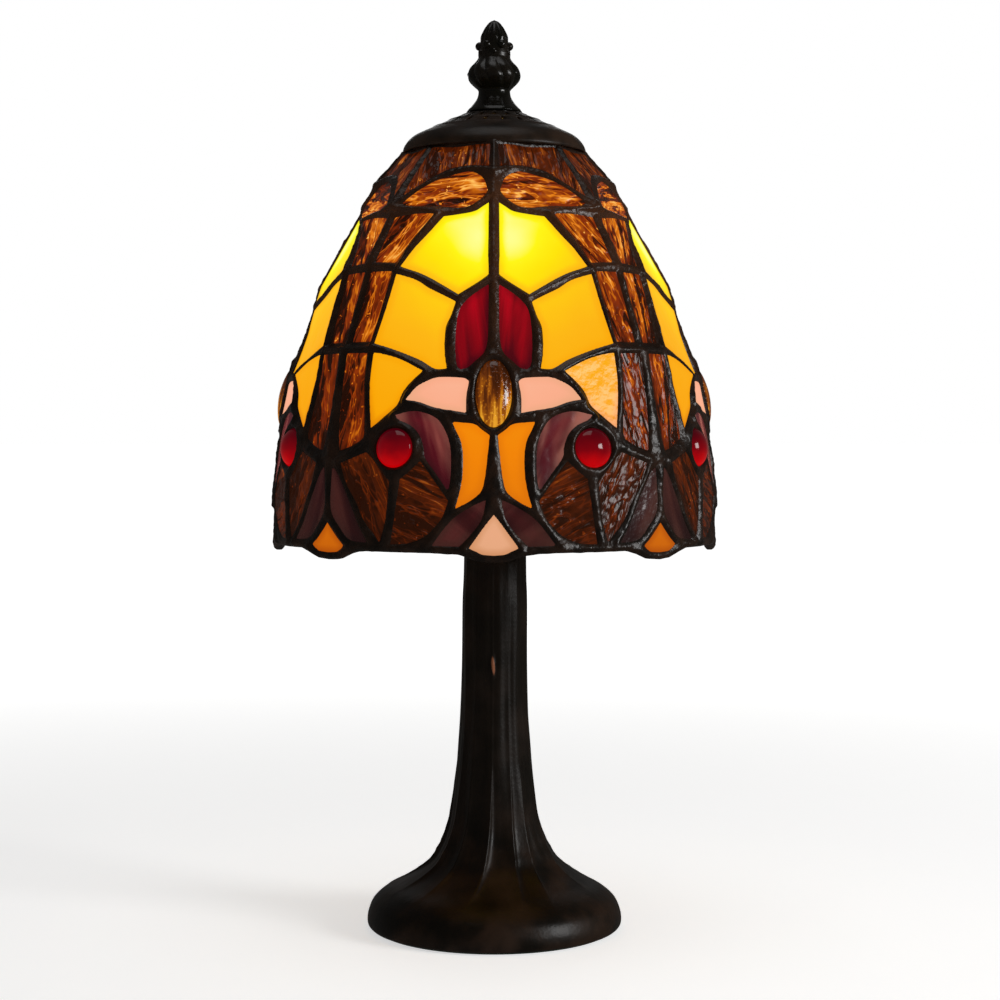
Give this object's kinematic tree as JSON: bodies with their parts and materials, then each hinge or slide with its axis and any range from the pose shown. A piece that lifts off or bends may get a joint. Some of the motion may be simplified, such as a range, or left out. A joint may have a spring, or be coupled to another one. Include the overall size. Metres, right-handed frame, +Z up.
{
  "type": "stained glass table lamp",
  "caption": "Small table lamp: a bell shade of soldered stained glass with a vented cap and finial, on a cast tree-trunk foot with harp, socket and bulb.",
  "frame": {"origin": "middle of the felt pad's underside, on the table", "axes": "+Z up along the lamp pipe; the front, the middle of one of the shade's four motifs, faces -Y; the cord bushing faces +Y"},
  "size_m": [0.2032, 0.2032, 0.4175],
  "materials": {
    "felt": "pressed felt",
    "zinc_steel": "zinc plated",
    "ballast_iron": "as cast",
    "bronze_casting": "dark antique bronze paint, satin",
    "bronze_cap": "dark antique bronze paint, satin",
    "black_rubber": "matte",
    "brass_parts": "bright",
    "fibre_liner": "vulcanised fibre",
    "porcelain": "glazed",
    "black_moulding": "moulded, gloss",
    "bulb_metal": "rolled",
    "frosted_glass": "frosted inside, lit",
    "filament_wire": "drawn wire",
    "solder_patina": "hand-run solder with black patina",
    "amber_rough_glass": "rippled bark texture, streaky amber brown",
    "yellow_glass": "opalescent, smooth",
    "orange_glass": "opalescent, smooth",
    "red_glass": "streaky cathedral",
    "pink_glass": "opalescent, smooth",
    "plum_glass": "streaky opalescent",
    "violet_glass": "streaky cathedral",
    "amber_jewel": "pressed cabochon, polished",
    "ruby_jewel": "pressed cabochon, polished"
  },
  "bodies": {
    "base": {"felt_pad": "felt", "base_cover": "zinc_steel", "pipe_nut_bottom": "zinc_steel", "lock_washer": "zinc_steel", "ballast_weight": "ballast_iron", "trunk_base": "bronze_casting", "lamp_pipe": "zinc_steel", "cord_bushing": "black_rubber", "neck_ring": "bronze_casting", "harp": "brass_parts", "pipe_nut_top": "brass_parts", "socket_cap": "brass_parts", "socket_shell": "brass_parts", "socket_insulator": "fibre_liner", "socket_body": "porcelain", "screw_shell": "brass_parts", "center_contact": "brass_parts", "terminal_screws": "brass_parts"},
    "switch": {"switch_shaft": "brass_parts", "switch_knob": "black_moulding"},
    "bulb": {"bulb_base": "bulb_metal", "bulb_contact": "bulb_metal", "bulb_glass": "frosted_glass", "bulb_stem": "frosted_glass", "filament": "filament_wire"},
    "stud": {"swivel_stud": "brass_parts"},
    "shade": {"crown_ring": "brass_parts", "vent_cap": "bronze_cap", "solder_lattice": "solder_patina", "rim_wire": "solder_patina", "glass_top_band": "amber_rough_glass", "glass_leaf": "amber_rough_glass", "glass_yellow_top": "yellow_glass", "glass_yellow_middle": "yellow_glass", "glass_yellow_low": "yellow_glass", "glass_column_top": "amber_rough_glass", "glass_column_middle": "amber_rough_glass", "glass_column_low": "amber_rough_glass", "glass_tulip": "red_glass", "glass_wing": "pink_glass", "glass_vase": "orange_glass", "glass_plum": "plum_glass", "glass_amber_inner": "amber_rough_glass", "glass_amber_outer": "amber_rough_glass", "glass_violet_seam": "violet_glass", "glass_violet_petal": "violet_glass", "glass_drop": "orange_glass", "glass_tear": "pink_glass", "jewel_oval": "amber_jewel", "jewel_round": "ruby_jewel"},
    "washer": {"finial_washer": "brass_parts"},
    "finial": {"finial_insert": "brass_parts", "finial": "bronze_casting"}
  },
  "joints": [
    {"name": "switch_turn", "type": "hinge", "parent": "base", "child": "switch", "pos_m": [0, 0.0085, 0.222], "axis": [0, 1, 0], "continuous": true},
    {"name": "bulb_lift", "type": "slide", "parent": "base", "child": "bulb", "axis": [0, 0, 1], "range_m": [0, 0.03]},
    {"name": "shade_turn", "type": "hinge", "parent": "base", "child": "stud", "pos_m": [0, 0, 0.362], "axis": [0, 0, 1], "continuous": true},
    {"name": "shade_lift", "type": "slide", "parent": "stud", "child": "shade", "axis": [0, 0, 1], "range_m": [0, 0.22]},
    {"name": "finial_turn", "type": "hinge", "parent": "shade", "child": "washer", "pos_m": [0, 0, 0.3751], "axis": [0, 0, 1], "range_deg": [0, 2880]},
    {"name": "finial_rise", "type": "slide", "parent": "washer", "child": "finial", "axis": [0, 0, 1], "range_m": [0, 0.0075]}
  ],
  "couplings": [
    {"joint": "finial_turn", "follows": "finial_rise", "rad_per_m": 6679}
  ]
}
